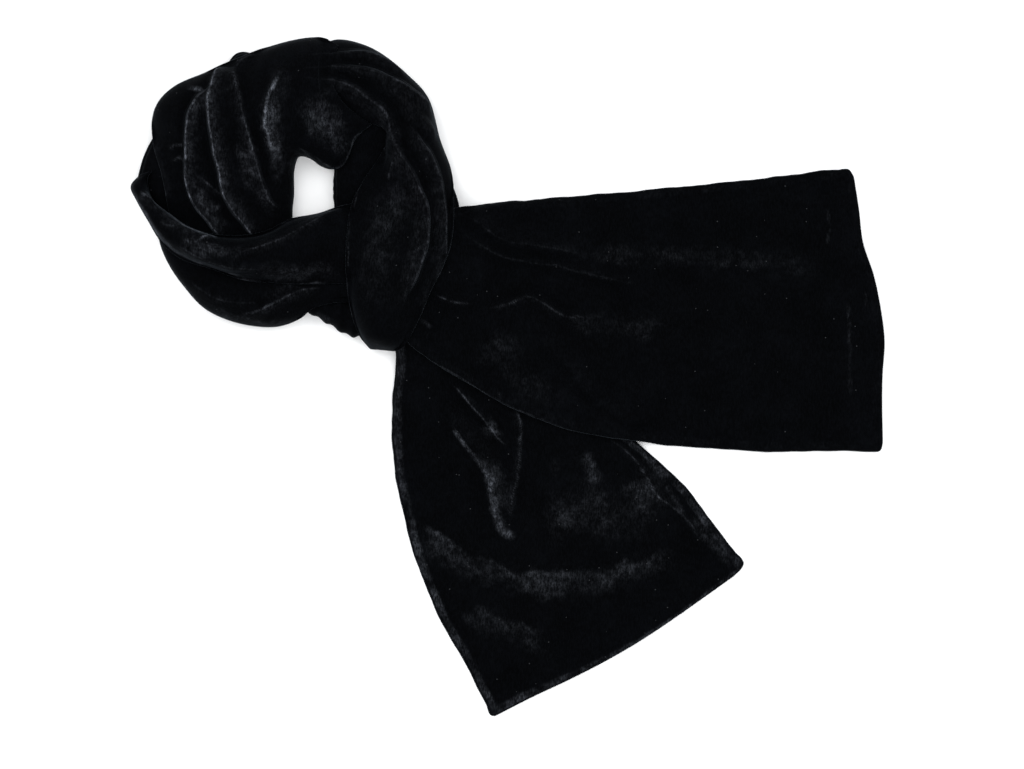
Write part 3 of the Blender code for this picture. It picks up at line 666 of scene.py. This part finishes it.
# Left turn
leftTurn = {
    "name": "leftTurn", "node": "left_turn", "flatOnTable": False, "hemmed": False,
    "flat": (0.115, 0.176), "held": "gathered", "restsOn": ["hiddenLayers", "underTurn", "crossingTurn"],
    "foldPaintedSheen": 0.07, "unevenness": 0.6, "seed": 5.0,
    "alongStep": 0.95, "pointsAcross": 190, "edgeDetail": 0.5,
    # its end runs on into the crossing
    "merge": {"length": 16, "sinks": 0.5, "thickness": 0.4, "fromShare": 0.44, "fadeShare": 0.16},
    "sections": [
        (-151, 94, -236, 91, 17, 2.4, 0), (-155, 115, -243, 118, 21, 2.4, 0),
            (-154, 132, -248, 144, 26, 2.4, 0),
        (-154, 147, -254.5, 168, 29, 2.4, 0), (-152, 156, -254.5, 192, 30, 2.4, 0),
        (-149, 158.5, -240, 209, 30, 2.4, 0), (-142, 156.5, -211.5, 221, 30, 2.4, 0),
            (-134, 151, -187, 231, 30, 2.4, -2),
        (-124, 148.5, -165, 239.5, 31, 2.4, -6), (-116, 153, -143, 244, 31, 2.4, -11),
        (-108.5, 170, -131, 242.3, 31, 2.4, -14), (-97, 180, -121, 237, 30, 2.4, -15)],
    "folds": [
        (4.6, 15, 3, 12, 0.52, [(-212, 206), (-218, 201), (-226, 190), (-228, 173), (-229, 156),
            (-228, 137), (-222, 121), (-213, 110), (-204, 98)]),
        (4.6, 14, 3, 12, 0.58, [(-204, 225), (-210, 212), (-213, 199), (-213, 186), (-210, 166),
            (-206, 149), (-203, 133), (-196, 119), (-188, 108), (-180, 97)]),
        (3.6, 3.5, 12, 12, 0.24, [(-197, 224), (-194, 211), (-190, 195), (-186, 180), (-183, 165),
            (-178, 146), (-174, 134), (-171, 125), (-163, 118)]),
        (3.8, 18, 8, 18, 0.0, [(-161, 225), (-165, 209), (-171, 195), (-172, 182), (-169, 168),
            (-166, 152), (-163, 137)]),
        (1.4, 4, 6, 8, 0.16, [(-220, 143), (-210, 134), (-201, 128)]),
        (2.2, 11, 3, 12, 0.12, [(-256, 172), (-254, 159), (-250, 147), (-246, 136), (-243, 123)]),
        (1.0, 3, 5, 5, 0.40, [(-266, 143), (-259, 147), (-253, 150)]),
        (1.1, 4, 4, 4, 0.0, [(-243, 162), (-236, 165), (-230, 164)]),
        (1.0, 4, 4, 4, 0.0, [(-242, 153), (-235, 156), (-228, 153)]),
        (1.6, 4, 5, 7, 0.18, [(-196, 219), (-191, 226), (-180, 232)]),
        (1.3, 5, 4, 6, 0.14, [(-127, 212), (-120, 203), (-112, 195), (-105, 188)]),
        (1.0, 4, 6, 6, 0.0, [(-132, 213), (-121, 211), (-109, 206)]),
        (0.0, 3, 8, 26, 0.05, [(-150, 228), (-124, 231), (-111, 231), (-90, 229)]),
        (0.0, 3, 9, 26, 0.06, [(-150, 219), (-125, 221), (-111, 220), (-90, 217)]),
        (0.0, 3, 12, 26, 0.07, [(-150, 213), (-126, 212), (-114, 208), (-94, 198)])],
    "pressedSheen": [
        (2.30, 2.4, 2.0, (24, 14), [(-161, 222), (-166, 208), (-171, 197), (-173, 185), (-171, 173),
            (-169, 157)]),
        (0.90, 8.0, 6.0, 24, [(-163, 209), (-168, 196), (-170, 183), (-168, 169), (-166, 150),
            (-165, 137)]),
        (0.62, 14.0, 13.0, 14, [(-146, 184), (-134, 178), (-125, 170), (-120, 157)]),
        (0.44, 19.0, 18.0, 18, [(-152, 196), (-136, 188), (-120, 178), (-110, 182)]),
        (0.60, 7.0, 12.0, 20, [(-190, 170), (-184, 156), (-181, 141), (-176, 129)]),
        (0.75, 10.0, 4.0, 12, [(-225, 139), (-218, 126), (-210, 114), (-203, 105)]),
        (0.22, 5.0, 9.0, 8, [(-206, 163), (-201, 144), (-196, 130)]),
        (1.20, 3.0, 3.0, 5, [(-231, 208), (-225, 206), (-217, 203)]),
        (1.00, 1.5, 1.5, 3, [(-242, 163), (-236, 165), (-230, 164)]),
        (0.90, 1.5, 1.5, 3, [(-240, 154), (-235, 156), (-229, 154)]),
        (0.14, 9.0, 9.0, 8, [(-242, 182), (-240, 173)]),
        (0.55, 1.0, 1.5, 6, [(-153, 165), (-144, 161), (-136, 155), (-129, 151), (-123, 149), (-118, 152),
            (-113, 161), (-109, 171), (-102, 175)])],
}

# Lower turn
lowerTurn = {
    "name": "lowerTurn", "node": "lower_turn", "flatOnTable": False, "hemmed": False,
    "flat": (0.060, 0.188), "held": "gathered",
    "restsOn": ["hiddenLayers", "gatheredBight", "underTurn", "leftTurn"],
    "foldPaintedSheen": 0.07, "unevenness": 0.55, "seed": 6.0,
    "alongStep": 1.1, "pointsAcross": 116, "edgeDetail": 0.65,
    "sections": [
        (-255, 147.5, -264, 145, 8, 2.2, 0), (-258, 142.5, -271, 136.5, 17, 2.3, 0),
            (-258, 136, -267, 126, 22, 2.4, 0),
        (-254, 126, -254, 104, 26, 2.4, 0), (-244, 118, -244.5, 92, 29, 2.4, 0),
            (-229, 108, -232, 83, 32, 2.4, 0),
        (-212, 102, -213, 77, 34, 2.4, 0), (-189, 101, -190, 69, 34, 2.4, 0),
            (-171, 105, -170, 67, 32, 2.4, 0),
        (-156, 113, -151, 66, 29, 2.4, 0), (-135, 118, -132, 66, 26, 2.4, 0),
            (-117, 123, -115, 66, 23, 2.4, 0),
        (-100, 124, -99, 62, 21, 2.4, 0), (-86, 122, -87, 58, 20, 2.4, 0)],
    "folds": [
        (2.6, 5, 9, 8, 0.72, [(-264, 133), (-255, 125), (-244, 117), (-233, 108), (-223, 103),
            (-208, 100)]),
        (1.0, 3, 4, 5, 0.30, [(-249, 111), (-243, 108), (-236, 106)]),
        (1.2, 4, 4, 6, 0.35, [(-222, 95), (-215, 98), (-206, 101)]),
        (1.6, 6, 7, 16, 0.10, [(-197, 86), (-173, 93), (-149, 104), (-128, 117), (-112, 126)]),
        (1.6, 6, 4, 14, 0.14, [(-239, 97), (-219, 85), (-196, 78), (-173, 75)])],
    "pressedSheen": [
        (0.80, 2.5, 2.5, 8, [(-265, 127), (-259, 117), (-254, 108), (-248, 99), (-238, 90)]),
        (0.80, 2.0, 2.0, 10, [(-244, 93), (-228, 85), (-204, 75), (-181, 67), (-157, 65), (-128, 67)]),
        (0.50, 8.0, 8.0, 14, [(-238, 98), (-222, 92), (-204, 89), (-186, 86)]),
        (0.30, 9.0, 9.0, 18, [(-184, 74), (-150, 74), (-118, 78)])],
}

# Right tail
rightTail = {
    "name": "rightTail", "node": "right_tail", "flatOnTable": True, "hemmed": True,
    "flat": (0.200, 0.334), "held": "laid", "restsOn": ["hiddenLayers", "lowerTail", "lowerTurn"],
    "foldPaintedSheen": 0.012, "unevenness": 0.55, "seed": 7.0, "hemPaintedSheen": 0.02,
    "alongStep": 1.4, "pointsAcross": 184, "edgeDetail": 0.25,
    "sections": [
        (-62, 116, -78, 40, 20, 2.6, 0), (-35, 121.5, -71, 23, 18, 2.8, 2), (-6, 125.5, -37, 0, 13, 3.2, 2),
        (23, 127.5, 4, -23, 8.5, 4.0, 2), (66, 131.5, 46, -39, 5, 7.0, 2),
            (109, 135.5, 91, -46.5, 3.2, 12, 3),
        (153, 139.5, 138, -51.5, 2.8, 12, 4), (196, 144.5, 189, -54, 2.8, 12, 5),
            (232, 149, 236, -54, 2.8, 12, 6),
        (242, 150, 261, -54.5, 2.8, 12, 6), (246, 149, 268, -53.5, 2.6, 12, 6),
            (249, 144, 270, -48, 2.4, 12, 6)],
    "endShape": [0, -1.5, -3.0, 1.0, 3.0, 3.5, 0.5, -0.5, 0],
    "folds": [
        (4.2, 14, 5, 24, 0.07, [(-36, 117), (-23, 111), (-9, 100), (6, 96), (19, 94), (40, 90), (60, 88)]),
        (2.0, 18, 12, 50, 0.0, [(23, 93), (60, 88), (94, 85), (138, 84), (174, 82), (209, 77), (235, 68)]),
        (2.8, 8, 4, 26, 0.06, [(-35, 105), (-20, 94), (-6, 87), (10, 83), (30, 80), (46, 76), (66, 72),
            (84, 68), (100, 66)]),
        (2.4, 5, 4, 8, 0.20, [(-52, 59), (-38, 53), (-24, 52)]),
        (3.4, 4, 10, 12, 0.15, [(-19, 48), (-1, 51), (8, 55), (16, 57), (25, 53), (35, 46), (43, 43),
            (59, 42)]),
        (2.2, 14, 14, 30, 0.0, [(37, 44), (66, 39), (94, 38), (117, 41), (142, 46)]),
        (3.0, 12, 7, 20, 0.0, [(16, 42), (31, 20), (46, 5), (60, -12), (73, -23), (90, -31)]),
        (2.2, 12, 14, 18, 0.0, [(-27, 33), (-6, 23), (16, 8), (37, -11)]),
        (1.0, 10, 10, 20, 0.0, [(167, 33), (171, 5), (166, -24)])],
    "pressedSheen": [
        (0.16, 12.0, 9.0, 40, [(37, 92), (73, 87), (115, 86), (160, 84), (209, 79), (230, 71)]),
        (0.18, 9.0, 13.0, 26, [(37, 42), (66, 38), (95, 36), (121, 41)]),
        (0.18, 12.0, 12.0, 12, [(-15, 33), (0, 23), (12, 12)]),
        (0.12, 16.0, 14.0, 24, [(-30, 24), (-6, 10), (16, -8), (40, -24)]),
        (1.00, 2.0, 2.0, 3, [(-63, 41), (-58, 38), (-55, 34)]),
        (0.26, 5.0, 5.0, 5, [(-60, 33), (-56, 28)]),
        (0.50, 1.0, 1.2, 8, [(-71, 22), (-62, 13), (-43, 5), (-23, -8), (-2, -19), (10, -25), (30, -33),
            (46, -39)]),
        (0.30, 1.4, 1.4, 6, [(230, 123), (231, 108), (230, 93)]),
        (0.34, 1.6, 1.6, 10, [(245, 55), (246, 19), (246, -18)]),
        (0.34, 1.6, 1.6, 4, [(257, 65), (258, 49)])],
}

# Crossing turn
crossingTurn = {
    "name": "crossingTurn", "node": "crossing_turn", "flatOnTable": False, "hemmed": False,
    "flat": (0.084, 0.212), "held": "gathered",
    "restsOn": ["hiddenLayers", "gatheredBight", "underTurn", "lowerTurn", "lowerTail", "rightTail"],
    "foldPaintedSheen": 0.05, "unevenness": 0.6, "seed": 8.0,
    "alongStep": 0.95, "pointsAcross": 176, "edgeDetail": 0.55,
    "sections": [
        (-134, 190, -149, 229, 13, 2.4, -1), (-121, 187.5, -136, 237.5, 18, 2.4, -3),
        (-109, 184, -123, 242.6, 21, 2.4, -5), (-98, 181, -107, 240, 24, 2.4, -4),
        (-91, 178, -91, 232.5, 27, 2.4, -2), (-87.5, 175.5, -73, 218, 28, 2.4, 0),
            (-85.5, 170, -57, 200, 29, 2.4, 0),
        (-92, 157, -48.7, 170.5, 30, 2.4, 0), (-104, 139, -40.3, 146.5, 31, 2.4, 0),
            (-112, 123, -38.5, 121, 32, 2.4, 0),
        (-115, 102, -40, 98, 33, 2.4, 0), (-116, 81, -46, 79, 33, 2.4, 0), (-115, 62, -55, 61, 33, 2.4, 0),
        (-112, 44, -62, 44, 32, 2.4, 0), (-107, 30, -69, 30, 29, 2.4, 0), (-103, 24, -74, 22, 21, 2.4, 0),
        (-99, 19.5, -80, 18, 8, 2.4, 0)],
    "folds": [
        (2.6, 3, 8, (46, 14), 0.10, [(-146, 229), (-134, 230), (-111, 231), (-96, 228), (-86, 224),
            (-76, 219), (-68, 213)]),
        (3.2, 3, 9, (40, 14), 0.12, [(-146, 220), (-134, 221), (-117, 221), (-96, 217), (-86, 213),
            (-76, 208), (-68, 202), (-60, 196), (-52, 185)]),
        (4.8, 3, 16, (38, 14), 0.14, [(-146, 213), (-134, 213), (-119, 211), (-107, 205), (-94, 197),
            (-85, 188), (-81, 175), (-76, 159), (-68, 145), (-62, 132), (-58, 119), (-58, 99), (-63, 80),
            (-72, 57)]),
        (2.4, 6, 9, 12, 0.0, [(-95, 210), (-80, 202), (-71, 193), (-63, 184), (-56, 176), (-50, 166)]),
        (3.8, 3, 11, 14, 0.12, [(-71, 182), (-63, 167), (-56, 157), (-50, 141), (-48, 128), (-46, 115),
            (-46, 96), (-48, 80), (-54, 62), (-62, 44)]),
        (2.2, 3, 8, 10, 0.05, [(-60, 117), (-66, 93), (-71, 71), (-76, 47)]),
        (1.2, 4, 5, 6, 0.16, [(-78, 158), (-83, 147), (-86, 137)]),
        (0.8, 3, 3, 4, 0.12, [(-108, 164), (-102, 162), (-94, 160)])],
    "pressedSheen": [
        (0.25, 22.0, 18.0, 30, [(-73, 150), (-77, 129), (-83, 110), (-88, 86)]),
        (0.19, 24.0, 18.0, 34, [(-84, 134), (-93, 102), (-97, 70), (-94, 42)]),
        (0.13, 10.0, 9.0, 16, [(-92, 209), (-78, 201), (-70, 192), (-63, 184), (-55, 176), (-50, 168)]),
        (0.38, 1.2, 1.0, 12, [(-96, 152), (-102, 144), (-108, 131), (-113, 109), (-114, 85), (-115, 64),
            (-114, 51), (-108, 31)]),
        (0.12, 5.0, 5.0, 10, [(-52, 120), (-52, 98), (-56, 78)]),
        (0.18, 6.0, 6.0, 8, [(-85, 182), (-79, 165), (-72, 150)])],
}

# The order in which the stretches are laid. The left turn's end goes over the crossing last of all.
layingOrder = [
    (lowerTail, ["hiddenLayers"]),
    (gatheredBight, ["hiddenLayers"]),
    (underTurn, ["hiddenLayers", "gatheredBight"]),
    (leftTurn, ["hiddenLayers", "underTurn"]),
    (lowerTurn, ["hiddenLayers", "gatheredBight", "underTurn", "leftTurn"]),
    (rightTail, ["hiddenLayers", "lowerTail", "lowerTurn"]),
    (crossingTurn, ["hiddenLayers", "gatheredBight", "underTurn", "lowerTurn", "lowerTail", "rightTail"]),
    (leftTurn, ["crossingTurn"]),
]


def bunchUp(laid, piece):
    # folds that run across the gathers
    outer = laid["outer"]
    turns = np.linspace(0, 2 * math.pi * piece["bunches"], len(outer))
    for row, swell in zip(outer, piece["bunchRise"] * (1 - np.cos(turns)) / 2):
        side = (row[-1, :2] - row[0, :2]) / np.linalg.norm(row[-1, :2] - row[0, :2])
        row[:, 2] += swell * row[:, 2] / row[:, 2].max()
        row[:, :2] += np.outer(swell * np.linspace(0, 1, len(row)) ** 2, side)


shells = {"hiddenLayers": shellOf(laidStretches["hiddenLayers"], closed=True)}
for piece, beneath in layingOrder:
    name = piece["name"]
    laidBefore = name in laidStretches
    if not laidBefore:
        laidStretches[name] = layOut(piece)
        if "bunches" in piece:
            bunchUp(laidStretches[name], piece)
        foldUp(laidStretches[name], piece)
    merge = piece.get("merge") if laidBefore else None
    restOn(laidStretches[name], [shells[other] for other in beneath], merge)
    shells[name] = shellOf(laidStretches[name])
    print("laid", name, "on", ", ".join(beneath))

makePiece(hiddenLayers, laidStretches["hiddenLayers"], velvet, closed=True)
for piece in (lowerTail, gatheredBight, underTurn, leftTurn, lowerTurn, rightTail, crossingTurn):
    roundNoses(laidStretches[piece["name"]])
    makePiece(piece, laidStretches[piece["name"]], velvet)
print("scarf done")

# Floor
paleFloor = {"size": 6.0, "below": 0.0003, "colour": (0.93, 0.93, 0.93), "roughness": 0.9}
bpy.ops.mesh.primitive_plane_add(size=paleFloor["size"], location=(0, 0, -paleFloor["below"]))
floor = bpy.context.object
floor.name = "paleFloor"
floorPaper = bpy.data.materials.new("floorPaper")
floorPaper.use_nodes = True
paper = floorPaper.node_tree.nodes["Principled BSDF"]
paper.inputs["Base Color"].default_value = (*paleFloor["colour"], 1)
paper.inputs["Roughness"].default_value = paleFloor["roughness"]
floor.data.materials.append(floorPaper)
print("floor done")

# Light
studioLight = {
    "aroundStrength": 1.05, "aroundColour": (0.97, 0.985, 1.0),
    "boxes": [               # x, y, z, size, watts
        (-1.5, 1.3, 1.5, 1.6, 30), (1.6, 0.9, 1.3, 1.6, 22), (0.1, -1.8, 1.2, 1.6, 18)],
}
room = bpy.data.worlds.new("studioRoom")
room.use_nodes = True
room.node_tree.nodes["Background"].inputs["Color"].default_value = (*studioLight["aroundColour"], 1)
room.node_tree.nodes["Background"].inputs["Strength"].default_value = studioLight["aroundStrength"]
bpy.context.scene.world = room
for x, y, z, size, watts in studioLight["boxes"]:
    box = bpy.data.lights.new("softBox", "AREA")
    box.energy, box.size = watts, size
    lamp = bpy.data.objects.new("softBox", box)
    lamp.location = (x, y, z)
    lamp.rotation_euler = (Vector((0, 0, 0)) - lamp.location).to_track_quat("-Z", "Y").to_euler()
    bpy.context.scene.collection.objects.link(lamp)
print("light done")

# Camera, straight above
overheadCamera = {"above": (0.0014, -0.0065, 2.5), "lens": 122.0, "sensor": 36.0}
camera = bpy.data.objects.new("overheadCamera", bpy.data.cameras.new("overheadCamera"))
camera.location = overheadCamera["above"]
camera.data.lens = overheadCamera["lens"]
camera.data.sensor_width = overheadCamera["sensor"]
bpy.context.scene.collection.objects.link(camera)
bpy.context.scene.camera = camera
bpy.context.scene.view_settings.view_transform = "Standard"
print("camera done")
